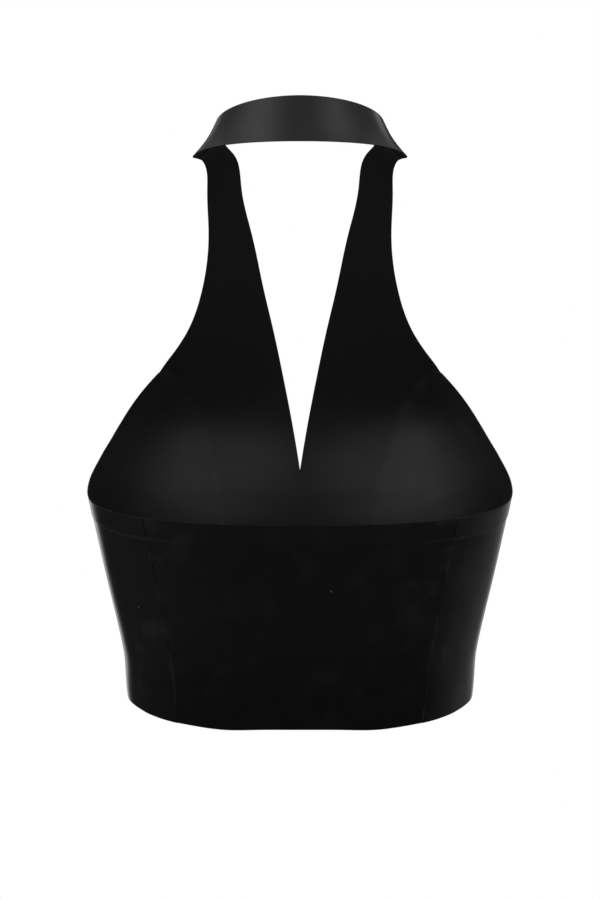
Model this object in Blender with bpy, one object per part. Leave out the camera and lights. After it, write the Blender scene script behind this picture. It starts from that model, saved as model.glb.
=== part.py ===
"""A halter neck top of sheet latex in the hollow shape that it has when worn.

The frame is the garment's own: +Z up, -Y to the wearer's front, +X to the wearer's left. The origin is the
nape: the middle of the neck band's inner face at the centre back, where the wearer's neck carries the top.
Everything is in metres. All the panels are cut from one smooth figure form, which is a stack of rings. A place
on that form is given by its turn, in degrees round from the centre back (0) to the centre front (180), and its
station, which is how far up the form it is and which equals the height above the hem where the rings are level.
"""

import math
from collections import namedtuple

import bpy
import numpy as np

# Thickness of the sheet, and the gap that neighbouring pieces keep.
WALL = 0.0012
SEAM_GAP = 0.0003

# The strip that lies on the outside of the top edge.
TRIM_WIDTH = 0.0135
TRIM_THICKNESS = 0.0010
TRIM_GAP = 0.0003

# The neck band, from the nape round to the turn where the straps take over.
BAND_LOW = 0.372
BAND_TOP = 0.405
BAND_END_TURN = 108.0

# The back's height, and the height of the point of the V at the front.
BACK_TOP = 0.140
V_POINT = 0.130

# How many faces each piece has, up the garment (rows) and round it (columns).
PANEL_ROWS = 12
TRIM_ROWS = 2
BACK_COLUMNS = 20
SIDE_COLUMNS = 18
FRONT_COLUMNS = 10
STRAP_ROWS = 30
BAND_COLUMNS = 40
BAND_ROWS = 4
SEAM_ROWS = PANEL_ROWS + TRIM_ROWS + 1
SHARP_ANGLE = 40.0

# Each ring is half of a rounded box at the back and half of another at the front. A larger square is a squarer
# corner. Tilt is how far the ring's back is raised, in degrees.
Ring = namedtuple(
    "Ring", "station height centre_y half_width back_depth front_depth tilt back_square front_square"
)
RINGS = (
    Ring(0.000, 0.0000, 0.000, 0.1177, 0.0927, 0.084, 0.0, 2.8, 2.2),
    Ring(0.035, 0.0350, 0.000, 0.1227, 0.090, 0.085, 0.0, 2.7, 2.2),
    Ring(0.070, 0.0700, 0.000, 0.1292, 0.091, 0.088, 0.0, 2.6, 2.2),
    Ring(0.105, 0.1050, 0.000, 0.1367, 0.095, 0.092, 0.0, 2.5, 2.2),
    Ring(0.140, 0.1400, 0.000, 0.1440, 0.100, 0.098, 0.0, 2.5, 2.2),
    Ring(0.180, 0.1800, 0.000, 0.1490, 0.106, 0.100, 0.0, 2.5, 2.3),
    Ring(0.230, 0.2300, 0.002, 0.1480, 0.109, 0.096, 2.0, 2.5, 2.4),
    Ring(0.280, 0.2780, 0.008, 0.1340, 0.106, 0.086, 7.0, 2.5, 2.4),
    Ring(0.325, 0.3220, 0.015, 0.1060, 0.093, 0.071, 10.0, 2.4, 2.3),
    Ring(0.355, 0.3520, 0.019, 0.0830, 0.077, 0.060, 10.0, 2.2, 2.2),
    Ring(0.372, 0.3688, 0.020, 0.0672, 0.066, 0.053, 10.0, 2.0, 2.1),
    Ring(0.390, 0.3787, 0.019, 0.0590, 0.060, 0.051, 15.5, 2.0, 2.1),
    Ring(0.405, 0.3862, 0.018, 0.0547, 0.057, 0.050, 22.0, 2.0, 2.1),
)

# The cup that the front seam shapes on each side.
CUP_TURN = 146.0
CUP_STATION = 0.166
CUP_RISE = 0.026
CUP_SPREAD_TURN = 26.0
CUP_SPREAD_BELOW = 0.042
CUP_SPREAD_ABOVE = 0.058

# The edges of the panels on the wearer's left. The seams run up from the hem.
Place = namedtuple("Place", "turn station")
BACK_SEAM = (
    Place(45.4, 0.000),
    Place(47.3, 0.030),
    Place(50.3, 0.080),
    Place(51.4, BACK_TOP),
)
FRONT_SEAM = (
    Place(141.0, 0.000),
    Place(143.0, 0.050),
    Place(146.0, 0.110),
    Place(146.5, 0.155),
    Place(141.0, 0.187),
    Place(132.0, 0.205),
)
SIDE_TOP = (
    Place(51.4, BACK_TOP),
    Place(70.0, BACK_TOP),
    Place(90.0, 0.143),
    Place(106.0, 0.154),
    Place(120.0, 0.176),
    Place(132.0, 0.205),
)
# The halter's outer edge, from the top of the front seam up and round to the centre back.
HALTER_OUTER = (
    Place(132.0, 0.205),
    Place(137.2, 0.236),
    Place(138.8, 0.270),
    Place(137.4, 0.302),
    Place(133.0, 0.329),
    Place(125.5, 0.352),
    Place(116.7, 0.3645),
    Place(108.0, 0.3690),
    Place(95.0, 0.3690),
    Place(80.0, 0.3690),
    Place(60.0, 0.3710),
    Place(30.0, BAND_LOW),
    Place(0.0, BAND_LOW),
)
# Its inner edge, which is the neckline, from the point of the V up and round to the centre back.
HALTER_INNER = (
    Place(180.0, V_POINT),
    Place(176.5, 0.168),
    Place(172.2, 0.210),
    Place(167.5, 0.250),
    Place(161.5, 0.290),
    Place(153.0, 0.328),
    Place(144.0, 0.354),
    Place(133.0, 0.376),
    Place(119.0, 0.394),
    Place(104.0, 0.403),
    Place(88.0, BAND_TOP),
    Place(60.0, BAND_TOP),
    Place(0.0, BAND_TOP),
)

PANEL_FINISH = {"color": (0.012, 0.012, 0.013, 1.0), "roughness": 0.30}
TRIM_FINISH = {"color": (0.014, 0.014, 0.015, 1.0), "roughness": 0.34}

# Small steps that measure the form's slopes, and the other side of the garment.
TURN_STEP = 0.05
STATION_STEP = 0.0002
OTHER_SIDE = (-1, 1)


# The figure form.


def smooth_through(knots, values):
    """The natural cubic spline through values, one row for each knot, as a function of a number or an array."""
    knots = np.asarray(knots, float)
    values = np.asarray(values, float)
    step = np.diff(knots)
    count = len(knots)
    system = np.eye(count)
    target = np.zeros_like(values)
    for i in range(1, count - 1):
        system[i, i - 1 : i + 2] = step[i - 1], 2 * (step[i - 1] + step[i]), step[i]
        slope_after = (values[i + 1] - values[i]) / step[i]
        slope_before = (values[i] - values[i - 1]) / step[i - 1]
        target[i] = 6 * (slope_after - slope_before)
    bend = np.linalg.solve(system, target)

    def at(x):
        x = np.asarray(x, float)
        i = np.clip(np.searchsorted(knots, x) - 1, 0, count - 2)
        width = step[i]
        left = (knots[i + 1] - x) / width
        right = 1 - left
        if values.ndim > 1:
            left, right, width = left[..., None], right[..., None], width[..., None]
        curve = (left**3 - left) * bend[i] + (right**3 - right) * bend[i + 1]
        return left * values[i] + right * values[i + 1] + curve * width**2 / 6

    return at


ring_at = smooth_through([ring.station for ring in RINGS], [ring[1:] for ring in RINGS])


def cup_rise(turn, station):
    """How far a cup lifts the form outward at a place."""
    spread = np.where(station < CUP_STATION, CUP_SPREAD_BELOW, CUP_SPREAD_ABOVE)
    round_the_form = (abs(turn) - CUP_TURN) / CUP_SPREAD_TURN
    up_the_form = (station - CUP_STATION) / spread
    return CUP_RISE * np.exp(-(round_the_form**2) - up_the_form**2)


def form_points(turn, station):
    """Points of the figure form's surface, for arrays of turns and stations."""
    turn, station = np.broadcast_arrays(np.asarray(turn, float), np.asarray(station, float))
    ring = Ring(station, *np.moveaxis(ring_at(station), -1, 0))
    across, along = np.sin(np.radians(turn)), np.cos(np.radians(turn))
    depth = np.where(along > 0, ring.back_depth, ring.front_depth)
    square = np.where(along > 0, ring.back_square, ring.front_square)
    radius = (abs(across / ring.half_width) ** square + abs(along / depth) ** square) ** (-1 / square)
    radius = radius + cup_rise(turn, station)
    tilt = np.radians(ring.tilt)
    x = radius * across
    y = ring.centre_y + radius * along * np.cos(tilt)
    z = ring.height + radius * along * np.sin(tilt)
    return np.stack([x, y, z], axis=-1)


def form_normals(turn, station):
    """Unit vectors that point out of the form at the same places."""
    round_form = form_points(turn + TURN_STEP, station) - form_points(turn - TURN_STEP, station)
    up_form = form_points(turn, station + STATION_STEP) - form_points(turn, station - STATION_STEP)
    normal = np.cross(up_form, round_form)
    return normal / np.linalg.norm(normal, axis=-1, keepdims=True)


# The edges that the panels are cut along, each a function of the fraction of its way.


def edge_through(places):
    """A smooth edge through places, as a function that gives (turn, station) at a fraction of its way."""
    rows = np.array(places, float)
    points = form_points(rows[:, 0], rows[:, 1])
    way = np.concatenate([[0], np.cumsum(np.linalg.norm(np.diff(points, axis=0), axis=1))])
    return smooth_through(way / way[-1], rows)


def straight_edge(start, end):
    """The straight edge between two places, as a function like edge_through's."""
    start, end = np.asarray(start, float), np.asarray(end, float)
    return lambda fraction: start + np.asarray(fraction, float)[..., None] * (end - start)


back_seam = edge_through(BACK_SEAM)
front_seam = edge_through(FRONT_SEAM)
side_top = edge_through(SIDE_TOP)
halter_outer = edge_through(HALTER_OUTER)
halter_inner = edge_through(HALTER_INNER)


def other_back_seam(fraction):
    """The back seam on the wearer's right."""
    return back_seam(fraction) * OTHER_SIDE


def fraction_at_turn(halter_edge, turn):
    """The fraction at which a halter edge, on its way to the centre back, reaches a turn."""
    fractions = np.linspace(0, 1, 2001)
    turns = halter_edge(fractions)[:, 0]
    to_the_back = slice(int(np.argmax(turns)), None)
    return float(np.interp(-turn, -turns[to_the_back], fractions[to_the_back]))


def top_edge_points():
    """Points close together along the whole top edge of the back and the sides."""
    side = side_top(np.linspace(0, 1, 400))
    back = straight_edge(side[0] * OTHER_SIDE, side[0])(np.linspace(0, 1, 200))
    places = np.concatenate([(side * OTHER_SIDE)[::-1], back, side])
    return form_points(places[:, 0], places[:, 1])


TOP_EDGE_POINTS = top_edge_points()


# The panels as grids of places. A grid's rows run up from the hem, and its columns round the form, turn rising.


def between_edges(bottom, top, left, right, across, up):
    """The place inside four edges that meet at their corners. Across and up run from 0 to 1."""
    across_share, up_share = np.asarray(across)[..., None], np.asarray(up)[..., None]
    from_sides = (1 - across_share) * left(up) + across_share * right(up)
    from_ends = (1 - up_share) * bottom(across) + up_share * top(across)
    low = (1 - across_share) * left(0.0) + across_share * right(0.0)
    high = (1 - across_share) * left(1.0) + across_share * right(1.0)
    return from_sides + from_ends - (1 - up_share) * low - up_share * high


def back_patch(across, up):
    """A place on the back panel."""
    bottom = straight_edge(other_back_seam(0.0), back_seam(0.0))
    top = straight_edge(other_back_seam(1.0), back_seam(1.0))
    return between_edges(bottom, top, other_back_seam, back_seam, across, up)


def side_patch(across, up):
    """A place on the left side panel."""
    bottom = straight_edge(back_seam(0.0), front_seam(0.0))
    return between_edges(bottom, side_top, back_seam, front_seam, across, up)


def rows_to_trim(patch, across):
    """How far up a panel its rows lie at one column: even rows to the trim's lower edge, then the trim's."""
    up = np.linspace(0.6, 1, 400)
    places = patch(np.full_like(up, across), up)
    points = form_points(places[:, 0], places[:, 1])
    from_edge = np.linalg.norm(points[:, None] - TOP_EDGE_POINTS[None], axis=2).min(axis=1)
    trim_line = float(np.interp(-TRIM_WIDTH, -from_edge, up))
    below = np.linspace(0, trim_line, PANEL_ROWS + 1)
    under_trim = np.linspace(trim_line, 1, TRIM_ROWS + 1)[1:]
    return np.concatenate([below, under_trim])


def trimmed_grid(patch, columns):
    """The grid of a panel whose top rows lie under a trim."""
    lines = []
    for across in np.linspace(0, 1, columns + 1):
        up = rows_to_trim(patch, across)
        lines.append(patch(np.full_like(up, across), up))
    return np.stack(lines, axis=1)


def front_half_grid():
    """The left half of the front panel with its strap. Its rows run up to the strap's end at the neck band."""
    seam_rows = rows_to_trim(side_patch, 1.0)
    outer_seam = front_seam(seam_rows)
    v_row = int(np.argmin(abs(outer_seam[:, 1] - V_POINT)))
    centre = straight_edge((180.0, 0.0), (180.0, V_POINT))(seam_rows[:v_row] / seam_rows[v_row])
    neckline_rows = SEAM_ROWS - v_row + STRAP_ROWS
    neckline = halter_inner(np.linspace(0, fraction_at_turn(halter_inner, BAND_END_TURN), neckline_rows))
    inner = np.concatenate([centre, neckline])
    strap = halter_outer(np.linspace(0, fraction_at_turn(halter_outer, BAND_END_TURN), STRAP_ROWS + 1)[1:])
    outer = np.concatenate([outer_seam, strap])
    across = np.linspace(0, 1, FRONT_COLUMNS + 1)[None, :, None]
    return outer[:, None] * (1 - across) + inner[:, None] * across


def band_grid():
    """The neck band."""
    turns = np.linspace(0, BAND_END_TURN, BAND_COLUMNS // 2 + 1)
    low = np.array([halter_outer(fraction_at_turn(halter_outer, turn))[1] for turn in turns])
    high = np.array([halter_inner(fraction_at_turn(halter_inner, turn))[1] for turn in turns])
    up = np.linspace(0, 1, BAND_ROWS + 1)[:, None]
    stations = low * (1 - up) + high * up
    left_half = np.stack([np.broadcast_to(turns, stations.shape), stations], axis=-1)
    return np.concatenate([left_half[:, :0:-1] * OTHER_SIDE, left_half], axis=1)


def mirrored(grid):
    """The same places on the wearer's other side."""
    return grid[:, ::-1] * OTHER_SIDE


def part_from_neighbour(boundary, direction):
    """Moves the places of a seam round the form, so that it ends up half a seam gap to one side of itself."""
    turn, station = boundary[:, 0], boundary[:, 1]
    along_seam = np.gradient(form_points(turn, station), axis=0)
    along_seam /= np.linalg.norm(along_seam, axis=1, keepdims=True)
    round_form = form_points(turn + TURN_STEP, station) - form_points(turn - TURN_STEP, station)
    aside_per_degree = np.linalg.norm(np.cross(along_seam, round_form), axis=1) / (2 * TURN_STEP)
    boundary[:, 0] += direction * SEAM_GAP / 2 / aside_per_degree


def panel_grids():
    """The grids of all the panels, parted at their seams."""
    back = trimmed_grid(back_patch, BACK_COLUMNS)
    side = trimmed_grid(side_patch, SIDE_COLUMNS)
    front_half = front_half_grid()
    band = band_grid()
    for grid in (back, side, band):
        part_from_neighbour(grid[:, 0], 1)
        part_from_neighbour(grid[:, -1], -1)
    part_from_neighbour(front_half[:SEAM_ROWS, 0], 1)
    part_from_neighbour(front_half[-1], 1)
    return back, side, front_half, band


# The solids.


def weld(grids):
    """The places and the quads of the grids, where places that lie on each other are one."""
    places, quads, number_of = [], [], {}
    for grid in grids:
        points = form_points(grid[..., 0], grid[..., 1])
        numbers = np.zeros(grid.shape[:2], int)
        for row, column in np.ndindex(numbers.shape):
            spot = tuple(np.round(points[row, column], 6) + 0.0)
            if spot not in number_of:
                number_of[spot] = len(places)
                places.append(grid[row, column])
            numbers[row, column] = number_of[spot]
        corners = numbers[:-1, :-1], numbers[1:, :-1], numbers[1:, 1:], numbers[:-1, 1:]
        quads += [tuple(int(corner[spot]) for corner in corners) for spot in np.ndindex(corners[0].shape)]
    return np.array(places), quads


def latex(name, color, roughness):
    """A glossy dark rubber finish."""
    material = bpy.data.materials.new(name)
    material.use_nodes = True
    shader = material.node_tree.nodes["Principled BSDF"]
    shader.inputs["Base Color"].default_value = color
    shader.inputs["Roughness"].default_value = roughness
    shader.inputs["Metallic"].default_value = 0.0
    return material


def add_wall(name, grids, inside, outside, finish, form):
    """Adds a closed wall over the grids, between two distances outward from the form."""
    places, quads = weld(grids)
    points = form_points(places[:, 0], places[:, 1])
    normals = form_normals(places[:, 0], places[:, 1])
    vertices = np.concatenate([points + normals * outside, points + normals * inside])
    inner = len(places)
    inner_quads = [(inner + a, inner + d, inner + c, inner + b) for a, b, c, d in quads]
    edges = {(quad[side - 1], quad[side]) for quad in quads for side in range(4)}
    rim_quads = [(b, a, inner + a, inner + b) for a, b in sorted(edges) if (b, a) not in edges]

    mesh = bpy.data.meshes.new(name)
    mesh.from_pydata(vertices.tolist(), [], quads + inner_quads + rim_quads)
    mesh.materials.append(latex(f"{name}_latex", **finish))
    mesh.shade_smooth()
    mesh.set_sharp_from_angle(angle=math.radians(SHARP_ANGLE))
    wall = bpy.data.objects.new(name, mesh)
    wall.parent = form
    bpy.context.scene.collection.objects.link(wall)


def nape_point():
    """The middle of the band's inner face at the centre back, on the form."""
    middle = (BAND_LOW + BAND_TOP) / 2
    return form_points(0.0, middle) - form_normals(0.0, middle) * WALL


def main():
    for old in list(bpy.data.objects):
        bpy.data.objects.remove(old)
    form = bpy.data.objects.new("figure_form", None)
    bpy.context.scene.collection.objects.link(form)
    form.location = -nape_point()

    back, side, front_half, band = panel_grids()
    panels = {
        "neck_band": [band],
        "back_panel": [back],
        "side_panel_left": [side],
        "side_panel_right": [mirrored(side)],
        "front_panel": [front_half, mirrored(front_half)],
    }
    for name, grids in panels.items():
        add_wall(name, grids, -WALL, 0.0, PANEL_FINISH, form)

    trims = {
        "back_top_trim": back,
        "side_top_trim_left": side,
        "side_top_trim_right": mirrored(side),
    }
    for name, grid in trims.items():
        add_wall(name, [grid[PANEL_ROWS:]], TRIM_GAP, TRIM_GAP + TRIM_THICKNESS, TRIM_FINISH, form)


main()
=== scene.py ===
# %% [markdown]
# # A halter neck top in glossy sheet latex
# The real top is cut from black latex sheet less than half a millimetre thick. Its panels are
# glued with narrow laps, the raw edges are left as cut, and a strip is glued round the top of the
# back. It is shown as worn, with nobody in it. The frame gives each panel as a plain rigid wall.
# This lesson turns those walls into thin glossy sheet, one step at a time.

# %% Load the frame
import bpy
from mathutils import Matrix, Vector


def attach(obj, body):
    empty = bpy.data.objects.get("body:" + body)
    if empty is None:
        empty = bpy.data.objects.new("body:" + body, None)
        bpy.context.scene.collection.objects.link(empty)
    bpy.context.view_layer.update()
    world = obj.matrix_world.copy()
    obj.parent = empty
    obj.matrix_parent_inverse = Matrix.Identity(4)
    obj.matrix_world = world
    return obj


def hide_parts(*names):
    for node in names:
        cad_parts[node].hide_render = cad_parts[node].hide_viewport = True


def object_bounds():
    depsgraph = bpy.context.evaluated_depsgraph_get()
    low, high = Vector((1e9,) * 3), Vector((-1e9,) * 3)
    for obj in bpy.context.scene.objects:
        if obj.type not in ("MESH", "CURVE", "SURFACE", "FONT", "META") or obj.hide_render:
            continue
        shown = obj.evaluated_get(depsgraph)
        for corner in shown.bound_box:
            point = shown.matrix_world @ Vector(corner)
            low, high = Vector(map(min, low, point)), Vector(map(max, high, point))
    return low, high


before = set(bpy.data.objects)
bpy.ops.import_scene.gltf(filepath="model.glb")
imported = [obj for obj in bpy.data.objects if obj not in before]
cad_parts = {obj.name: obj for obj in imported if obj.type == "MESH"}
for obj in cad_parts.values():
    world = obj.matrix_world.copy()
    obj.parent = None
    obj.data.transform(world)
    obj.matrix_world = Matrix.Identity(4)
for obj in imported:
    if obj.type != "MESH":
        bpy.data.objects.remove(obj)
cad_box = [list(corner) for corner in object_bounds()]

import math
import bpy
import bmesh
import numpy as np
from mathutils import Vector
from mathutils.bvhtree import BVHTree
from mathutils.kdtree import KDTree

MM = 0.001
print("nodes:", ", ".join(sorted(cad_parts)))
print("box in mm:", [[round(v / MM) for v in corner] for corner in cad_box])

# %% [markdown]
# ## The sizes of the sheet
# All later steps use the same few sizes, so they are named once. The sheet is 0.4 mm thick. A
# lap is the strip where one panel lies glued on the next. The sheet on top stands proud of the
# one below by its own thickness and a film of glue, and it sinks back slowly past the lap. The
# frame's strips stand 1.3 mm out from its panels.

# %% Name the sizes
SHEET = 0.40 * MM
STEP = 0.46 * MM
LAP = 6.0 * MM
RAMP = 16.0 * MM
STRIP_OUT = 1.3 * MM
PANELS = ["back_panel", "side_panel_left", "side_panel_right", "front_panel", "neck_band"]
TRIMS = {"back_top_trim": "back_panel", "side_top_trim_left": "side_panel_left",
         "side_top_trim_right": "side_panel_right"}
print(f"sheet {SHEET / MM:.1f} mm, lap {LAP / MM:.0f} mm")

# %% [markdown]
# ## Taking the outer face of a wall
# A wall in the frame has an outer face, an inner face and a narrow rim between them. Only the
# outer face is needed, because the sheet gets its own thickness later. The wall bends gently and
# meets its rim at a right angle. So one face that plainly looks outwards is selected, the
# selection spreads over every edge that isn't sharp, and what is left over is deleted.

# %% Keep the outer face
BODY_AXIS_Y = -0.07
SHARP_EDGE = 50

def looks_out(face):
    """How plainly a face looks away from the body's middle. It counts for more on a large face."""
    centre = face.calc_center_median()
    away = Vector((centre.x, centre.y - BODY_AXIS_Y, 0)).normalized()
    return face.normal.dot(away) * face.calc_area()

def edit(obj, kind):
    """Makes obj the only selected object and opens it in edit mode, to select faces or edges."""
    bpy.ops.object.select_all(action="DESELECT")
    bpy.context.view_layer.objects.active = obj
    obj.select_set(True)
    bpy.ops.object.mode_set(mode="EDIT")
    bpy.ops.mesh.select_mode(type=kind)

def outer_face(node, name):
    """A new object with the outer face of one node of the frame."""
    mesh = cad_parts[node].data.copy()
    mesh.name = name
    mesh.materials.clear()
    obj = bpy.data.objects.new(name, mesh)
    bpy.context.scene.collection.objects.link(obj)
    edit(obj, "FACE")
    bpy.ops.mesh.select_all(action="SELECT")
    bpy.ops.mesh.customdata_custom_splitnormals_clear()
    bpy.ops.mesh.remove_doubles(threshold=0.005 * MM)
    bm = bmesh.from_edit_mesh(mesh)
    bm.normal_update()
    seed = max(bm.faces, key=looks_out)
    for face in bm.faces:
        face.select_set(face is seed)
    bmesh.update_edit_mesh(mesh)
    bpy.ops.mesh.faces_select_linked_flat(sharpness=math.radians(SHARP_EDGE))
    bpy.ops.mesh.select_all(action="INVERT")
    bpy.ops.mesh.delete(type="FACE")
    bpy.ops.object.mode_set(mode="OBJECT")
    return obj

sheets = {node: outer_face(node, node + "_latex") for node in [*PANELS, *TRIMS]}
print({name: len(obj.data.polygons) for name, obj in sheets.items()})

# %% [markdown]
# ## From triangles back to squares
# The frame is made of triangles, and a surface smoothed from triangles gets small dents that
# gloss would show. Each panel was a grid of four-sided cells, and each cell was cut in two by one
# diagonal. At a corner of the panel that has a single triangle, the side across the corner is a
# diagonal. From there the others follow: across any shared edge, the diagonal changes ends.
# The two halves of the body may be mirrored, so each half is walked by itself.

# %% Find the diagonals and dissolve them
def other_edge(face, vertex, shared):
    """The edge of a triangle that meets the shared edge at the given vertex."""
    return next(e for e in face.edges if e is not shared and vertex in e.verts)

def next_diagonal(face, diagonal, shared, neighbour):
    """The neighbour's diagonal, seen across the edge that both triangles share."""
    if diagonal is shared:
        return shared
    first, second = shared.verts
    swapped = second if first in diagonal.verts else first
    return other_edge(neighbour, swapped, shared)

def half_of(face):
    """Which half of the body a face lies in."""
    return face.calc_center_median().x > 0

def squares(obj):
    """Turns a panel's triangles back into the grid's four-sided cells."""
    edit(obj, "EDGE")
    bm = bmesh.from_edit_mesh(obj.data)
    found = {}
    for corner in [v for v in bm.verts if len(v.link_edges) == 2]:
        start = corner.link_faces[0]
        if start in found:
            continue
        found[start] = next(e for e in start.edges if corner not in e.verts)
        queue = [start]
        while queue:
            face = queue.pop()
            for shared in face.edges:
                for other in shared.link_faces:
                    if other not in found and half_of(other) == half_of(start):
                        found[other] = next_diagonal(face, found[face], shared, other)
                        queue.append(other)
    diagonals = set(found.values())
    for edge in bm.edges:
        edge.select_set(edge in diagonals)
    bmesh.update_edit_mesh(obj.data)
    bpy.ops.mesh.dissolve_edges(use_verts=False, use_face_split=False)
    bpy.ops.object.mode_set(mode="OBJECT")
    sides = {len(p.vertices) for p in obj.data.polygons}
    print(f"{obj.name}: {len(obj.data.polygons)} cells with {sides} sides")

for obj in sheets.values():
    squares(obj)

# %% [markdown]
# ## Smoothing the sheet
# Stretched latex has no flats and no corners inside a panel, so each grid gets a Subdivision
# Surface modifier, which is then applied. It would round off the corners of a panel too, so
# each point where the cut edge turns sharply gets a full vertex crease first. The large panels
# get enough cells to carry a step of one sheet along each seam.

# %% Subdivide
LEVELS = {"front_panel": 2}
SHARP_CORNER = 25

def finish_modifier(obj, name, kind, **values):
    """Adds a modifier with these values and applies it."""
    bpy.ops.object.select_all(action="DESELECT")
    bpy.context.view_layer.objects.active = obj
    obj.select_set(True)
    modifier = obj.modifiers.new(name, kind)
    for key, value in values.items():
        setattr(modifier, key, value)
    bpy.ops.object.modifier_apply(modifier=name)

def keep_corners(obj):
    """Creases the points where the free edge turns by more than the sharp corner's angle."""
    bm = bmesh.new()
    bm.from_mesh(obj.data)
    crease = bm.verts.layers.float.new("crease_vert")
    count = 0
    for v in bm.verts:
        ends = [e.other_vert(v) for e in v.link_edges if e.is_boundary]
        if len(ends) == 2:
            before, after = v.co - ends[0].co, ends[1].co - v.co
            if math.degrees(before.angle(after)) > SHARP_CORNER:
                v[crease] = 1.0
                count += 1
    bm.to_mesh(obj.data)
    bm.free()
    return count

for node, obj in sheets.items():
    corners = keep_corners(obj)
    levels = LEVELS.get(node, 3)
    finish_modifier(obj, "smooth", "SUBSURF", levels=levels, render_levels=levels,
                    boundary_smooth="PRESERVE_CORNERS", use_limit_surface=True)
    print(f"{node}: {corners} corners kept, {len(obj.data.polygons)} faces")

# %% [markdown]
# ## Reading a sheet as numbers
# The next steps move points by distance from a seam, so a few helpers read a mesh into arrays,
# find its free edge, and measure how far points lie from a line. The smooth panels are also kept
# as they are now in search trees, because a lap follows its neighbour's surface.

# %% Helpers for points and edges
LINE_SPACING = 0.25 * MM

def points_of(obj):
    """All points of a mesh as an array."""
    out = np.zeros(len(obj.data.vertices) * 3)
    obj.data.vertices.foreach_get("co", out)
    return out.reshape(-1, 3)

def normals_of(obj):
    """The smooth normal at each point."""
    out = np.zeros(len(obj.data.vertices) * 3)
    obj.data.vertex_normals.foreach_get("vector", out)
    return out.reshape(-1, 3)

def set_points(obj, points):
    """Puts the points back into the mesh."""
    obj.data.vertices.foreach_set("co", np.asarray(points, np.float32).ravel())
    obj.data.update()

def free_edge(obj):
    """Pairs of point numbers along the sheet's free edge."""
    bm = bmesh.new()
    bm.from_mesh(obj.data)
    pairs = [[v.index for v in e.verts] for e in bm.edges if e.is_boundary]
    bm.free()
    return np.array(pairs)

def line_points(points, pairs):
    """Points close together along the edges that the pairs name."""
    a, b = points[pairs[:, 0]], points[pairs[:, 1]]
    steps = max(2, int(np.linalg.norm(b - a, axis=1).max() / LINE_SPACING) + 1)
    t = np.linspace(0, 1, steps)[:, None, None]
    return (a + t * (b - a)).reshape(-1, 3)

def distances(points, line):
    """How far each point is from the nearest point of a line."""
    tree = KDTree(len(line))
    for i, p in enumerate(line):
        tree.insert(p, i)
    tree.balance()
    return np.array([tree.find(p)[2] for p in points])

def search_tree(obj):
    """A tree that finds the nearest place on the sheet as it is now."""
    faces = [list(p.vertices) for p in obj.data.polygons]
    return BVHTree.FromPolygons([Vector(p) for p in points_of(obj)], faces)

smooth_trees = {node: search_tree(sheets[node]) for node in PANELS}
smooth_edges = {}
for node in PANELS:
    smooth_edges[node] = line_points(points_of(sheets[node]), free_edge(sheets[node]))
print({node: len(line) for node, line in smooth_edges.items()})

# %% [markdown]
# ## Laps under the neighbouring panel
# At a seam the lower panel runs on for six millimetres under the upper one. Its seam edge is
# extruded in three steps, and each new row is laid on the neighbour's surface. Both ends of a lap
# are cut at a slant, so that no corner of it shows past the neighbour's edge. The side panels lie
# over the back panel, the front panel lies over the side panels, and the neck band lies over the
# ends of the front panel's straps.

# %% Extrude the laps
SEAMS = [("back_panel", "side_panel_left"), ("back_panel", "side_panel_right"),
         ("side_panel_left", "front_panel"), ("side_panel_right", "front_panel"),
         ("front_panel", "neck_band")]
SEAM_REACH = 1.2 * MM
LAP_ROWS = 3
SLANT, SLANT_REACH = 0.40, 12.0 * MM

def on_seam(obj, pairs, neighbour_edge):
    """The pairs along the free edge that run beside the neighbour's free edge."""
    near = distances(points_of(obj), neighbour_edge) < SEAM_REACH
    return pairs[near[pairs[:, 0]] & near[pairs[:, 1]]]

def sort_by_place(bm):
    """Puts points, edges and faces in order. Extrude adds them in a new order each run."""
    for parts, place in ((bm.verts, lambda v: v.co),
                         (bm.edges, lambda e: e.verts[0].co + e.verts[1].co),
                         (bm.faces, lambda f: f.calc_center_median())):
        in_order = sorted(parts, key=lambda part: tuple(place(part)))
        rank = {part: number for number, part in enumerate(in_order)}
        parts.sort(key=lambda part: rank[part])

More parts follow.
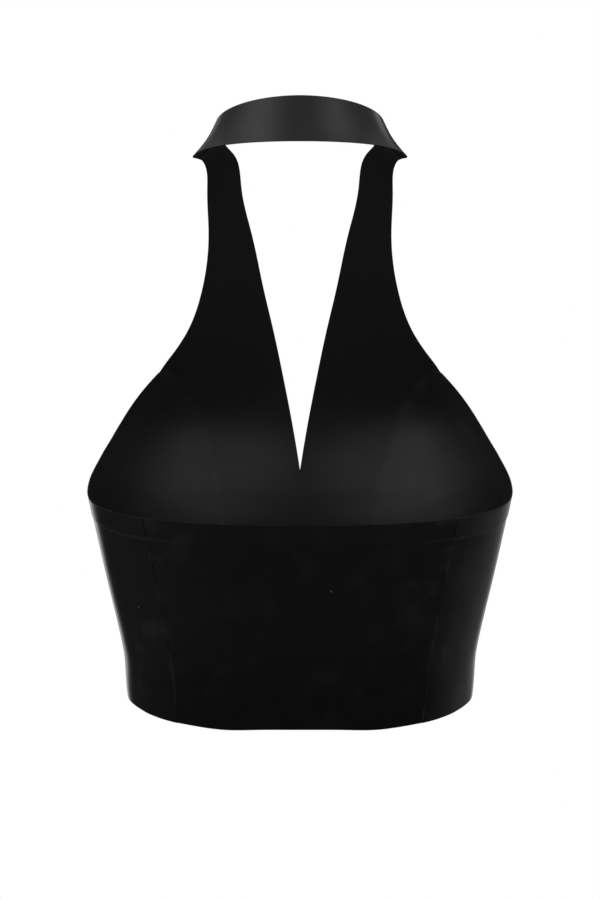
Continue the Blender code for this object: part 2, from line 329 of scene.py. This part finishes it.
def lap_under(lower, upper):
    """Extrudes the lower sheet's seam edge along the upper sheet's smooth surface."""
    obj, tree = sheets[lower], smooth_trees[upper]
    pairs = on_seam(obj, free_edge(obj), smooth_edges[upper])
    seam = {tuple(sorted(pair)) for pair in pairs.tolist()}
    edit(obj, "EDGE")
    bm = bmesh.from_edit_mesh(obj.data)
    start = bm.verts.layers.float_vector.new("start")
    onward = bm.verts.layers.float_vector.new("onward")
    for edge in bm.edges:
        edge.select_set(tuple(sorted(v.index for v in edge.verts)) in seam)
    for edge in [e for e in bm.edges if e.select]:
        face = edge.link_faces[0]
        out = (edge.verts[0].co - edge.verts[1].co).cross(face.normal).normalized()
        if out.dot(edge.verts[0].co - face.calc_center_median()) < 0:
            out.negate()
        for v in edge.verts:
            v[start] = v.co
            v[onward] = (v[onward] + out).normalized()
    along = [v for v in bm.verts if v.select]
    for end in along:
        onto = [e.other_vert(end) for e in end.link_edges if e.select]
        if len(onto) == 1:
            inward = (onto[0].co - end.co).normalized()
            for v in along:
                left = max(0.0, 1 - (v.co - end.co).length / SLANT_REACH)
                v[onward] = v[onward] + inward * SLANT * left
    for row in range(1, LAP_ROWS + 1):
        bmesh.update_edit_mesh(obj.data)
        bpy.ops.mesh.extrude_edges_move()
        bm = bmesh.from_edit_mesh(obj.data)
        start = bm.verts.layers.float_vector["start"]
        onward = bm.verts.layers.float_vector["onward"]
        for v in [v for v in bm.verts if v.select]:
            v.co = tree.find_nearest(v[start] + v[onward] * (LAP * row / LAP_ROWS))[0]
    bm.verts.layers.float_vector.remove(start)
    bm.verts.layers.float_vector.remove(bm.verts.layers.float_vector["onward"])
    sort_by_place(bm)
    bmesh.update_edit_mesh(obj.data)
    bpy.ops.object.mode_set(mode="OBJECT")
    print(f"{lower} runs {LAP / MM:.0f} mm under {upper}: {len(seam)} edges extruded")

seam_lines = {}
for lower, upper in SEAMS:
    pairs = on_seam(sheets[upper], free_edge(sheets[upper]), smooth_edges[lower])
    seam_lines[lower, upper] = line_points(points_of(sheets[upper]), pairs)
for lower, upper in SEAMS:
    lap_under(lower, upper)

# %% [markdown]
# ## Raising the upper panel
# Over the lap, the upper panel stands proud by one step. Beyond the hidden edge of the lower
# panel the pulled sheet sinks back over 16 mm, so only its raw edge shows as a line.

# %% Raise the sheets on top
LAP_REACH = LAP + 0.2 * MM

def smooth_step(t):
    """Goes from 0 to 1 with level ends."""
    t = np.clip(t, 0, 1)
    return t * t * (3 - 2 * t)

def raise_over_lap(upper, line):
    """Lifts a sheet by one step within the lap's width of its seam line."""
    obj = sheets[upper]
    points = points_of(obj)
    rise = STEP * (1 - smooth_step((distances(points, line) - LAP_REACH) / RAMP))
    set_points(obj, points + normals_of(obj) * rise[:, None])
    print(f"{upper} raised by up to {rise.max() / MM:.2f} mm over a seam")

for (lower, upper), line in seam_lines.items():
    raise_over_lap(upper, line)

# %% [markdown]
# ## Creases and ripples
# The sheet is pulled tight, so it has no folds, only shallow drag lines. They start where the
# pull is uneven: at the side of the bust, at the ends of the seams, along the hem and where the
# straps meet the neck band. Each one is placed by its two ends, its width and its height.
# A place is given as the turn round the body in degrees from the centre back, and the height in
# millimetres, which is negative below the nape. Along its length a line swells and fades again.

# %% Place the drag lines
GIRTH_RADIUS = 0.115
LINE_START, LINE_LENGTH = 0.08, 0.84
# (turn, height) of one end, (turn, height) of the other, half width mm, height mm
DRAG_LINES = [
    ((52, -262), (78, -272), 6.0, 0.25), ((98, -268), (124, -292), 6.0, -0.40),
    ((50, -296), (76, -318), 8.0, 0.22), ((98, -326), (126, -314), 8.0, -0.35),
    ((106, -232), (132, -262), 5.5, 0.50), ((104, -252), (130, -282), 6.5, -0.35),
    ((96, -352), (124, -362), 9.0, 0.35), ((128, -330), (160, -352), 9.0, 0.40),
    ((132, -300), (166, -316), 9.0, -0.45), ((136, -282), (176, -292), 7.0, 0.40),
    ((18, -300), (46, -286), 9.0, 0.30), ((10, -352), (42, -338), 10.0, -0.30),
    ((22, -376), (52, -372), 9.0, 0.22), ((150, -172), (166, -214), 5.0, 0.35),
    ((140, -120), (158, -176), 4.0, -0.30), ((112, -20), (138, -58), 4.0, 0.35),
    ((92, -12), (120, -34), 4.0, -0.25), ((34, -4), (64, -14), 6.0, 0.20),
]
# A few that only one side has, with negative turns on the wearer's right.
SINGLE_LINES = [
    ((-50, -300), (-74, -330), 9.0, 0.22), ((-8, -318), (20, -330), 11.0, 0.25),
    ((28, -322), (50, -352), 7.0, 0.25), ((40, -296), (58, -318), 6.0, -0.20),
    ((-140, -262), (-168, -250), 6.0, 0.25), ((118, -372), (146, -376), 7.0, 0.30),
]

def turn_of(points):
    """Degrees round the body from the centre back, positive on the wearer's left."""
    return np.degrees(np.arctan2(points[:, 0], points[:, 1] - BODY_AXIS_Y))

def unrolled(turn, height):
    """A place on the body as if its surface were rolled out flat."""
    return np.stack([np.radians(turn) * GIRTH_RADIUS, height], axis=-1)

def ripple_height(points):
    """How far the drag lines move each point outwards."""
    here = unrolled(turn_of(points), points[:, 2])
    both = [(sign, line) for line in DRAG_LINES for sign in (1, -1)]
    both += [(1, line) for line in SINGLE_LINES]
    total = np.zeros(len(points))
    for sign, (first, last, width, height) in both:
        a = unrolled(np.array(sign * first[0]), first[1] * MM)
        b = unrolled(np.array(sign * last[0]), last[1] * MM)
        t = np.clip(((here - a) @ (b - a)) / ((b - a) @ (b - a)), 0, 1)
        off = np.linalg.norm(here - a - t[:, None] * (b - a), axis=1) / (width * MM)
        taper = np.sin(np.pi * (LINE_START + LINE_LENGTH * t))
        total += height * MM * taper * np.exp(-off ** 2)
    return total

for node in PANELS:
    points = points_of(sheets[node])
    height = ripple_height(points)
    set_points(sheets[node], points + normals_of(sheets[node]) * height[:, None])
    print(f"{node}: ripples from {height.min() / MM:.2f} to {height.max() / MM:.2f} mm")

# %% [markdown]
# ## The sides and the line of the hem
# Nothing holds the cut edge of the hem. At the wearer's sides it stands out by about two
# millimetres, and higher up the side panels round out by one. The hem is cut straight, but where
# the sheet is pulled round the corners of the waist it creeps down a little. On each side of the
# back it hangs about a millimetre lower than in the middle.

# %% Ease the sides out
EASE_OUT, EASE_HEIGHT, EASE_REACH = 1.35 * MM, -309 * MM, 42 * MM
FLARE_OUT, FLARE_REACH = 2.3 * MM, 34 * MM
BACK_START, BACK_FULL, FRONT_FULL, FRONT_END = 64, 80, 100, 140
hem_height = cad_box[0][2]

def at_the_sides(points):
    """One at the wearer's sides, which fades to nothing towards the back and the front."""
    turn = np.abs(turn_of(points))
    from_back = smooth_step((turn - BACK_START) / (BACK_FULL - BACK_START))
    return from_back * (1 - smooth_step((turn - FRONT_FULL) / (FRONT_END - FRONT_FULL)))

for node in ("side_panel_left", "side_panel_right"):
    points = points_of(sheets[node])
    ease = EASE_OUT * np.exp(-((points[:, 2] - EASE_HEIGHT) / EASE_REACH) ** 2)
    flare = FLARE_OUT * (1 - smooth_step((points[:, 2] - hem_height) / FLARE_REACH))
    out = (ease + flare) * at_the_sides(points)
    set_points(sheets[node], points + normals_of(sheets[node]) * out[:, None])
    print(f"{node}: up to {out.max() / MM:.1f} mm further out")

# %% Let the hem down beside the middle
DIP_TURN, DIP_SPREAD, DIP_DEPTH, DIP_REACH = 31.0, 11.0, 1.2 * MM, 40 * MM
for node in ("back_panel", "side_panel_left", "side_panel_right"):
    points = points_of(sheets[node])
    across = np.exp(-((np.abs(turn_of(points)) - DIP_TURN) / DIP_SPREAD) ** 2)
    drop = DIP_DEPTH * across * (1 - smooth_step((points[:, 2] - hem_height) / DIP_REACH))
    set_points(sheets[node], points - np.outer(drop, (0, 0, 1)))
    print(f"{node}: hem up to {drop.max() / MM:.1f} mm lower")

# %% [markdown]
# ## Laying the strips on the panels
# The strip round the top edge is a second layer glued on the outside. Each strip is laid on its
# finished panel: every point goes to the nearest place on the panel and then one step out.

# %% Lay the strips
for trim, panel in TRIMS.items():
    obj, tree = sheets[trim], search_tree(sheets[panel])
    points, normals = points_of(obj), normals_of(obj)
    for i, (p, n) in enumerate(zip(points, normals)):
        spot = tree.find_nearest(Vector(p - n * STRIP_OUT))[0]
        points[i] = np.array(spot) + n * STEP
    set_points(obj, points)
    print(f"{trim} laid on {panel}")

# %% [markdown]
# ## Lines along the edges, stored on the points
# The finish paints a highlight line beside a raw edge. It needs to know where that is, so each
# point stores how many millimetres it lies from the edge of the sheet on top of it: more than
# nothing beside that sheet and less than nothing under it. A number that goes evenly through
# nothing at the edge lets the shader draw a line far finer than the mesh. The strip's painted
# highlight is kept out of the middle of the back, so its points there count as further from the
# glued edge.

# %% Store the distances
UNDER = 0.15 * MM
FAR_MM = 50.0
# Where the strip's painted highlight is kept out of the middle of the back: how much further its
# points count, the half width, and the fade.
NO_HIGHLIGHT_MM, NO_HIGHLIGHT_WIDTH, NO_HIGHLIGHT_FADE = 0.4, 66 * MM, 38 * MM
STRIP_INNER = 4 * MM

def store(obj, name, values):
    """Keeps one number for each point as an attribute that the finish reads."""
    layer = obj.data.attributes.new(name, "FLOAT", "POINT")
    layer.data.foreach_set("value", np.asarray(values, np.float32))

def dropped_on(obj, line, reach=3 * MM):
    """The points of a line that pass close over a sheet, moved onto the sheet."""
    tree = search_tree(obj)
    found = [tree.find_nearest(Vector(p), reach)[0] for p in line]
    return np.array([spot for spot in found if spot is not None])

def beside(obj, tops):
    """Millimetres from the edges of the sheets on top, and less than nothing under them."""
    points = points_of(obj)
    nearest = np.full(len(points), FAR_MM)
    for top in tops:
        surface = search_tree(sheets[top])
        away = np.array([surface.find_nearest(Vector(p))[3] for p in points])
        out = np.sqrt(np.clip(away ** 2 - STEP ** 2, 0, None))
        inward = distances(points, dropped_on(obj, outlines[top]))
        nearest = np.minimum(nearest, np.where(out > UNDER, out, -inward) / MM)
    return nearest

outlines = {}
for node, obj in sheets.items():
    outlines[node] = line_points(points_of(obj), free_edge(obj))
laid_over = {"side_top_trim_left": ["front_panel"], "side_top_trim_right": ["front_panel"]}
for lower, upper in SEAMS:
    laid_over.setdefault(lower, []).append(upper)
strip_on = {panel: [trim] for trim, panel in TRIMS.items()}

def glued_edge(node):
    """The points of a sheet's free edge that lie glued on another sheet."""
    line = outlines[node]
    if node in TRIMS:
        return line[distances(line, outlines[TRIMS[node]]) > STRIP_INNER]
    below = [outlines[lower] for lower, upper in SEAMS if upper == node]
    return line[distances(line, np.concatenate(below)) < LAP + MM] if below else line[:0]

for node, obj in sheets.items():
    points = points_of(obj)
    store(obj, "from_lap_mm", beside(obj, laid_over.get(node, [])))
    store(obj, "from_strip_mm", beside(obj, strip_on.get(node, [])))
    store(obj, "from_cut_mm", distances(points, outlines[node]) / MM)
    glued = glued_edge(node)
    away = distances(points, glued) / MM if len(glued) else np.full(len(points), FAR_MM)
    # Painted highlight: in the middle of the back the strip's points count as further from the
    # glued edge, so its painted highlight line fades out there.
    if node in TRIMS:
        aside = smooth_step((np.abs(points[:, 0]) - NO_HIGHLIGHT_WIDTH) / NO_HIGHLIGHT_FADE)
        away += NO_HIGHLIGHT_MM * (1 - aside)
    store(obj, "from_glued_mm", away)
print("distances stored on", len(sheets), "sheets")

# %% [markdown]
# ## Small tools for the finishes
# A finish is a net of shader nodes. These helpers add a node, do one sum, or map one range to
# another, so the cells below read like short formulas. All parts of the top are the same latex,
# so its small effects are one node group. It starts here, with its inputs and its outputs.

# %% Start the latex group
def add(tree, kind, place=(0, 0), **values):
    """Adds a node, and sets the sockets and settings that are named."""
    node = tree.nodes.new(kind)
    node.location = place
    for key, value in values.items():
        if key in node.inputs:
            node.inputs[key].default_value = value
        else:
            setattr(node, key, value)
    return node

def maths(tree, operation, a, b=0.5, clamp=False):
    """A Math node. An input is a number or another node's output."""
    node = tree.nodes.new("ShaderNodeMath")
    node.operation, node.use_clamp = operation, clamp
    for slot, value in zip(node.inputs, (a, b)):
        if isinstance(value, bpy.types.NodeSocket):
            tree.links.new(value, slot)
        else:
            slot.default_value = value
    return node.outputs[0]

def between(tree, value, low, high, start=0.0, end=1.0):
    """Maps a value from one range to another with smooth ends."""
    node = add(tree, "ShaderNodeMapRange", interpolation_type="SMOOTHSTEP")
    tree.links.new(value, node.inputs["Value"])
    for name, number in (("From Min", low), ("From Max", high), ("To Min", start), ("To Max", end)):
        node.inputs[name].default_value = number
    return node.outputs["Result"]

def noise(tree, place, scale, detail):
    """A Noise texture's value at a place."""
    node = add(tree, "ShaderNodeTexNoise", Scale=scale, Detail=detail)
    tree.links.new(place, node.inputs["Vector"])
    return node.outputs["Fac"]

def stored(tree, name):
    """One of the distances in millimetres that the points hold."""
    return add(tree, "ShaderNodeAttribute", attribute_name=name).outputs["Fac"]

def socket(group, name, way, kind="NodeSocketFloat", value=None):
    """Adds a named input or output to a node group."""
    item = group.interface.new_socket(name, in_out=way, socket_type=kind)
    if value is not None:
        item.default_value = value

latex_group = bpy.data.node_groups.new("polished_latex", "ShaderNodeTree")
socket(latex_group, "Color", "INPUT", "NodeSocketColor", (0.003, 0.003, 0.0032, 1))
socket(latex_group, "Roughness", "INPUT", value=0.16)
socket(latex_group, "Cloud", "INPUT", value=0.05)
socket(latex_group, "Lint", "INPUT", value=1.0)
socket(latex_group, "Line", "INPUT", value=1.0)
socket(latex_group, "Color", "OUTPUT", "NodeSocketColor")
socket(latex_group, "Roughness", "OUTPUT")
socket(latex_group, "Height", "OUTPUT")
print("the latex group has", len(latex_group.interface.items_tree), "inputs and outputs")

# %% [markdown]
# ## Lint and two specks
# Polished latex draws lint. A Voronoi texture scatters round spots, and a random number for each
# spot keeps only one in seventy or so. Two specks on the back are given one by one.

# %% Describe the lint
LINT_SCALE, LINT_LEFT_OUT = 70.0, 0.985
LINT_CORE, LINT_EDGE = 0.020, 0.035
SPECKS = [(-0.0202, 0.0169, -0.2984), (0.1066, -0.0124, -0.3183)]
SPECK_CORE, SPECK_EDGE = 0.45 * MM, 0.95 * MM

def lint_spots(tree, place):
    """One on a bit of lint or a speck, and nothing beside it."""
    cells = add(tree, "ShaderNodeTexVoronoi", Scale=LINT_SCALE)
    chance = add(tree, "ShaderNodeTexWhiteNoise")
    tree.links.new(place, cells.inputs["Vector"])
    tree.links.new(cells.outputs["Position"], chance.inputs["Vector"])
    spot = between(tree, cells.outputs["Distance"], LINT_CORE, LINT_EDGE, 1.0, 0.0)
    kept = maths(tree, "GREATER_THAN", chance.outputs["Value"], LINT_LEFT_OUT)
    lint = maths(tree, "MULTIPLY", spot, kept)
    for speck in SPECKS:
        away = add(tree, "ShaderNodeVectorMath", operation="DISTANCE")
        tree.links.new(place, away.inputs[0])
        away.inputs[1].default_value = speck
        mark = between(tree, away.outputs["Value"], SPECK_CORE, SPECK_EDGE, 1.0, 0.0)
        lint = maths(tree, "ADD", lint, mark, clamp=True)
    return lint

print(len(SPECKS), "specks placed by hand")

# %% [markdown]
# ## Painted highlights along the edges
# A thin broken painted highlight lies along each lap: on the lower sheet beside the edge, and on
# the edge itself. A wider and fainter painted highlight shows where the strip's lower edge stands
# up at the sides, and it fades out towards the middle of the back.

# %% Describe the painted edge highlights
SEAM_HIGHLIGHT_PALE, STRIP_HIGHLIGHT_PALE = 0.022, 0.010
# How far from the edge the painted highlight starts to thin out, and where it ends.
BESIDE_LAP_MM, ON_EDGE_MM, BESIDE_STRIP_MM = (0.2, 0.8), (0.1, 0.6), (0.6, 3.2)
# Below the first value of the noise only a tenth of the seam's painted highlight is left.
BREAKS, BREAK_LEFT = (0.40, 0.62), 0.10

def painted_edge_highlight(tree, smear, x):
    """How far the painted highlight lines move the colour towards grey, from nothing to a few
    hundredths.
    """
    # Painted highlight on and beside each lap's edge, broken up by the smear noise.
    below = between(tree, stored(tree, "from_lap_mm"), *BESIDE_LAP_MM, 1.0, 0.0)
    on_top = between(tree, stored(tree, "from_glued_mm"), *ON_EDGE_MM, 1.0, 0.0)
    seam = maths(tree, "MAXIMUM", below, on_top)
    seam = maths(tree, "MULTIPLY", seam, between(tree, smear, *BREAKS, BREAK_LEFT, 1.0))
    # Painted highlight below the strip's raised lower edge, kept to the sides of the back.
    ridge = between(tree, stored(tree, "from_strip_mm"), *BESIDE_STRIP_MM, 1.0, 0.0)
    aside = between(tree, maths(tree, "ABSOLUTE", x), NO_HIGHLIGHT_WIDTH, NO_HIGHLIGHT_WIDTH + NO_HIGHLIGHT_FADE)
    ridge = maths(tree, "MULTIPLY", ridge, aside)
    return maths(tree, "ADD", maths(tree, "MULTIPLY", seam, SEAM_HIGHLIGHT_PALE),
                 maths(tree, "MULTIPLY", ridge, STRIP_HIGHLIGHT_PALE))

# How far the painted edge highlights can pale the colour.
print("dust moves the colour by up to", SEAM_HIGHLIGHT_PALE + STRIP_HIGHLIGHT_PALE)

# %% [markdown]
# ## Smears of polish
# Faint smears of polish are left here and there, most of them at the sides, where hands hold the
# sheet. One noise gives the smears and a broader one leaves stretches of the sheet clean.

# %% Describe the smears
POLISH_PALE = 0.0075
# Between these distances from the middle, the smears grow from the least share to all of it.
RUBBED, RUBBED_LEAST = (50 * MM, 105 * MM), 0.40
# The values of the two noises between which a smear and a stretch of them appear.
SMEARED, STRETCH, STRETCH_LEAST = (0.44, 0.68), (0.40, 0.60), 0.15

def polish_smears(tree, smear, cloud, x):
    """How far the smears move the colour towards grey."""
    rubbed = between(tree, maths(tree, "ABSOLUTE", x), *RUBBED, RUBBED_LEAST, 1.0)
    patch = maths(tree, "MULTIPLY", between(tree, smear, *SMEARED),
                  between(tree, cloud, *STRETCH, STRETCH_LEAST, 1.0))
    return maths(tree, "MULTIPLY", maths(tree, "MULTIPLY", patch, rubbed), POLISH_PALE)

print("smears move it by up to", POLISH_PALE)

# %% [markdown]
# ## One recipe for the polished surface
# The group takes a base colour and roughness and puts out the colour, roughness and height of the
# surface. Polished latex has soft clouds in its gloss and a very fine skin. Beside a cut edge the
# gloss is a little duller.

# %% Fill the latex group
CLOUD_SCALE, SKIN_SCALE, SMEAR_SCALE = 22.0, 900.0, 60.0
CLOUD_RELIEF, SKIN_RELIEF, LINT_RELIEF = 0.80, 0.006, 0.08
LINT_PALE, EDGE_DULL, DULL_MM = 0.07, 0.10, (0.2, 1.6)
# The grey towards which real lint, polish smears and the painted edge highlights pale the colour.
DUST_AND_HIGHLIGHT_GREY = (0.62, 0.61, 0.60, 1)

def fill_latex_group(tree):
    """The effects inside the group."""
    given, out = add(tree, "NodeGroupInput"), add(tree, "NodeGroupOutput")
    place = add(tree, "ShaderNodeTexCoord").outputs["Object"]
    parts = add(tree, "ShaderNodeSeparateXYZ")
    tree.links.new(place, parts.inputs["Vector"])
    cloud = noise(tree, place, CLOUD_SCALE, 3.0)
    skin = noise(tree, place, SKIN_SCALE, 2.0)
    smear = noise(tree, place, SMEAR_SCALE, 4.0)

    lint = maths(tree, "MULTIPLY", lint_spots(tree, place), given.outputs["Lint"])
    # Painted highlight lines along the edges, added to the real polish smears; the lint is real.
    lines = maths(tree, "ADD", painted_edge_highlight(tree, smear, parts.outputs["X"]),
                  polish_smears(tree, smear, cloud, parts.outputs["X"]))
    pale = maths(tree, "ADD", maths(tree, "MULTIPLY", lint, LINT_PALE),
                 maths(tree, "MULTIPLY", lines, given.outputs["Line"]), clamp=True)
    colour = add(tree, "ShaderNodeMix", data_type="RGBA")
    tree.links.new(pale, colour.inputs["Factor"])
    tree.links.new(given.outputs["Color"], colour.inputs[6])
    colour.inputs[7].default_value = DUST_AND_HIGHLIGHT_GREY
    tree.links.new(colour.outputs[2], out.inputs["Color"])

    clouds = maths(tree, "MULTIPLY", maths(tree, "SUBTRACT", smear, 0.5), given.outputs["Cloud"])
    dull = between(tree, stored(tree, "from_cut_mm"), *DULL_MM, EDGE_DULL, 0.0)
    rough = maths(tree, "ADD", given.outputs["Roughness"], clouds)
    tree.links.new(maths(tree, "ADD", rough, dull, clamp=True), out.inputs["Roughness"])

    height = maths(tree, "ADD", maths(tree, "MULTIPLY", cloud, CLOUD_RELIEF),
                   maths(tree, "MULTIPLY", skin, SKIN_RELIEF))
    height = maths(tree, "ADD", height, maths(tree, "MULTIPLY", lint, LINT_RELIEF))
    tree.links.new(height, out.inputs["Height"])

fill_latex_group(latex_group)
print("latex group:", len(latex_group.nodes), "nodes")

# %% [markdown]
# ## Three finishes from one recipe
# The outside is polished. The inside was powdered, so it is duller and a little greyer. The cut
# edge is raw and matt. Each material keeps its own shader, and its IOR and specular values are
# set on the shader itself.

# %% Make the materials
RELIEF_STRENGTH = 0.35

def latex(name, colour, roughness, cloud=0.05, lint=1.0, line=1.0):
    """A latex material that takes its details from the group."""
    material = bpy.data.materials.new(name)
    material.use_nodes = True
    tree = material.node_tree
    shader = tree.nodes["Principled BSDF"]
    shader.inputs["IOR"].default_value = 1.52
    group = add(tree, "ShaderNodeGroup", (-520, 0), node_tree=latex_group)
    for key, value in (("Color", (*colour, 1)), ("Roughness", roughness), ("Cloud", cloud),
                       ("Lint", lint), ("Line", line)):
        group.inputs[key].default_value = value
    relief = add(tree, "ShaderNodeBump", (-260, -220), Strength=RELIEF_STRENGTH, Distance=MM)
    tree.links.new(group.outputs["Color"], shader.inputs["Base Color"])
    tree.links.new(group.outputs["Roughness"], shader.inputs["Roughness"])
    tree.links.new(group.outputs["Height"], relief.inputs["Height"])
    tree.links.new(relief.outputs["Normal"], shader.inputs["Normal"])
    return material

outside = latex("latex_outside", (0.0023, 0.0023, 0.0025), 0.17)
strip = latex("latex_strip", (0.0029, 0.0029, 0.0031), 0.19, cloud=0.07)
inside = latex("latex_inside", (0.0085, 0.0085, 0.0088), 0.46, cloud=0.12, lint=0.6, line=0.3)
cut = latex("latex_cut_edge", (0.0015, 0.0015, 0.0016), 0.60, lint=0.0)
cut.node_tree.nodes["Principled BSDF"].inputs["Specular IOR Level"].default_value = 0.12
print([m.name for m in (outside, strip, inside, cut)])

# %% [markdown]
# ## Giving the sheet its thickness
# A Solidify modifier puts the wall on the inner side, so the outer surface stays where it is. Its
# material offsets give the new inner face the second material and the rim the third.

# %% Thicken and finish
SMOOTH_ANGLE = 40

for node, obj in sheets.items():
    for material in (strip if node in TRIMS else outside, inside, cut):
        obj.data.materials.append(material)
    finish_modifier(obj, "thickness", "SOLIDIFY", thickness=SHEET, offset=-1.0,
                    use_even_offset=True, material_offset=1, material_offset_rim=2)
    bpy.ops.object.select_all(action="DESELECT")
    bpy.context.view_layer.objects.active = obj
    obj.select_set(True)
    bpy.ops.object.shade_smooth_by_angle(angle=math.radians(SMOOTH_ANGLE))
    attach(obj, "root")
    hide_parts(node)
    print(f"{obj.name}: {len(obj.data.polygons)} faces")

# %% [markdown]
# ## The flat cut of each sheet
# Latex is cut a little smaller than the body and pulled on. This top is cut about a twentieth
# narrower than it is worn. Each sheet is listed with the width and length of its flat piece in
# metres, its flat area in square metres with its laps, and the sheets that it lies on or hangs
# from. Only the flat area is read, to print how the worn area compares with it.

FLAT_CUTS = {
    "back_panel": ((0.210, 0.142), 0.0264, ["side_panel_left", "side_panel_right"]),
    "side_panel_left": ((0.230, 0.222), 0.0341, ["back_panel", "front_panel"]),
    "side_panel_right": ((0.230, 0.222), 0.0341, ["back_panel", "front_panel"]),
    "front_panel": ((0.250, 0.430), 0.0428, ["neck_band"]),
    "neck_band": ((0.244, 0.033), 0.0061, ["front_panel"]),
    "back_top_trim": ((0.201, 0.0135), 0.0027, ["back_panel"]),
    "side_top_trim_left": ((0.222, 0.0135), 0.00295, ["side_panel_left"]),
    "side_top_trim_right": ((0.222, 0.0135), 0.00295, ["side_panel_right"]),
}
for node, (flat, area, below) in FLAT_CUTS.items():
    obj = sheets[node]
    worn = sum(p.area for p in obj.data.polygons) / 2
    print(f"{node}: {worn * 1e4:.1f} square cm worn, {worn / area:.2f} times its flat area")

# %% [markdown]
# ## Floor and light
# The floor is plain and pale, and to the camera both it and the world are white. Gloss shows what
# it mirrors, so what the latex mirrors is described by itself: a dark studio with a pale ceiling
# and a few large soft lights. The floor lets mirrored rays through, or its edge would show as a
# line. Each soft light is an oval patch that fades out evenly, because the edge of a real soft
# box would draw a hard step on sheet this smooth.

# %% Make the floor
FLOOR_HEIGHT, FLOOR_SIZE = -1.35, 16

bpy.ops.object.select_all(action="DESELECT")
bpy.ops.mesh.primitive_plane_add(size=FLOOR_SIZE, location=(0, 0, FLOOR_HEIGHT))
floor = bpy.context.object
floor.name = "studio_floor"
paper = bpy.data.materials.new("pale_floor")
paper.use_nodes = True
tree = paper.node_tree
shader, output = tree.nodes["Principled BSDF"], tree.nodes["Material Output"]
shader.inputs["Base Color"].default_value = (0.86, 0.86, 0.86, 1)
shader.inputs["Roughness"].default_value = 0.9
rays = add(tree, "ShaderNodeLightPath")
white = add(tree, "ShaderNodeEmission", Color=(1, 1, 1, 1), Strength=1.0)
clear = add(tree, "ShaderNodeBsdfTransparent", Color=(1, 1, 1, 1))
to_camera, to_gloss = add(tree, "ShaderNodeMixShader"), add(tree, "ShaderNodeMixShader")
tree.links.new(rays.outputs["Is Camera Ray"], to_camera.inputs["Fac"])
tree.links.new(shader.outputs["BSDF"], to_camera.inputs[1])
tree.links.new(white.outputs["Emission"], to_camera.inputs[2])
tree.links.new(rays.outputs["Is Glossy Ray"], to_gloss.inputs["Fac"])
tree.links.new(to_camera.outputs["Shader"], to_gloss.inputs[1])
tree.links.new(clear.outputs["BSDF"], to_gloss.inputs[2])
tree.links.new(to_gloss.outputs["Shader"], output.inputs["Surface"])
floor.data.materials.append(paper)
print("floor at", round(floor.location.z, 2), "m")

# %% Start the world with a dark studio and a pale ceiling
WALLS, CEILING, CEILING_FROM_Z = 0.041, 0.47, 0.78

world = bpy.data.worlds.new("studio")
bpy.context.scene.world = world
world.use_nodes = True
tree = world.node_tree
direction = add(tree, "ShaderNodeTexCoord").outputs["Generated"]
parts = add(tree, "ShaderNodeSeparateXYZ")
tree.links.new(direction, parts.inputs["Vector"])
studio = between(tree, parts.outputs["Z"], 0.0, CEILING_FROM_Z, WALLS, CEILING)
level = add(tree, "ShaderNodeVectorMath", operation="MULTIPLY")
tree.links.new(direction, level.inputs[0])
level.inputs[1].default_value = (1, 1, 0)
heading = add(tree, "ShaderNodeVectorMath", operation="NORMALIZE")
tree.links.new(level.outputs["Vector"], heading.inputs[0])
height_angle = maths(tree, "ARCSINE", parts.outputs["Z"])

# %% Add the soft lights that the latex mirrors
def soft_light(turn, rise, wide, tall, brightness):
    """An oval patch of light. Turn is round from the back and rise is above level. Wide and tall
    are from its middle to where it ends. All four are in degrees."""
    toward = add(tree, "ShaderNodeVectorMath", operation="DOT_PRODUCT")
    tree.links.new(heading.outputs["Vector"], toward.inputs[0])
    toward.inputs[1].default_value = (math.sin(math.radians(turn)), math.cos(math.radians(turn)), 0)
    across = maths(tree, "ARCCOSINE", toward.outputs["Value"])
    along = maths(tree, "ABSOLUTE", maths(tree, "SUBTRACT", height_angle, math.radians(rise)))
    across = between(tree, across, 0.0, math.radians(wide), brightness, 0.0)
    return maths(tree, "MULTIPLY", across, between(tree, along, 0.0, math.radians(tall), 1.0, 0.0))

SOFT_FILL = 0.8
# (turn, rise, wide, tall, brightness)
SOFT_LIGHTS = [
    (69, 42, 58, 58, 0.61), (-62, 44, 48, 22, 0.50), (-114, -24, 70, 12, 0.145),
    (71, -28, 72, 17, 0.060), (-20, -30, 124, 17, 0.028), (154, -8, 18, 25, 0.80),
    (-142, -1, 18, 25, 1.10), (150, 58, 20, 30, 2.80), (-150, 57, 20, 30, 2.60),
    (160, -22, 12, 26, 0.55), (-160, -22, 12, 26, 0.50),
]
mirrored = studio
for light in SOFT_LIGHTS:
    mirrored = maths(tree, "ADD", mirrored, soft_light(*light))
rays = add(tree, "ShaderNodeLightPath")
mirrored = maths(tree, "MULTIPLY", mirrored, rays.outputs["Is Glossy Ray"])
soft = maths(tree, "MULTIPLY", SOFT_FILL, rays.outputs["Is Diffuse Ray"])
seen = rays.outputs["Is Camera Ray"]
total = maths(tree, "ADD", maths(tree, "ADD", mirrored, seen), soft)
tree.links.new(total, tree.nodes["Background"].inputs["Strength"])
tree.nodes["Background"].inputs["Color"].default_value = (1, 1, 1, 1)
print(len(SOFT_LIGHTS), "soft lights,", len(tree.nodes), "nodes in the world")

# %% [markdown]
# ## The camera
# The camera stands behind the top at about the height of the neck band and looks slightly down.

# %% Place the camera
CAMERA_PLACE, CAMERA_AIM = Vector((0, 1.1736, 0.0520)), Vector((0, -0.0764, -0.2260))

lens = bpy.data.cameras.new("camera")
lens.lens, lens.sensor_width = 75, 36
camera = bpy.data.objects.new("camera", lens)
camera.location = CAMERA_PLACE
camera.rotation_euler = (CAMERA_AIM - CAMERA_PLACE).to_track_quat("-Z", "Y").to_euler()
bpy.context.scene.collection.objects.link(camera)
bpy.context.scene.camera = camera
bpy.context.scene.view_settings.view_transform = "Standard"
print("camera at", [round(v, 3) for v in camera.location])
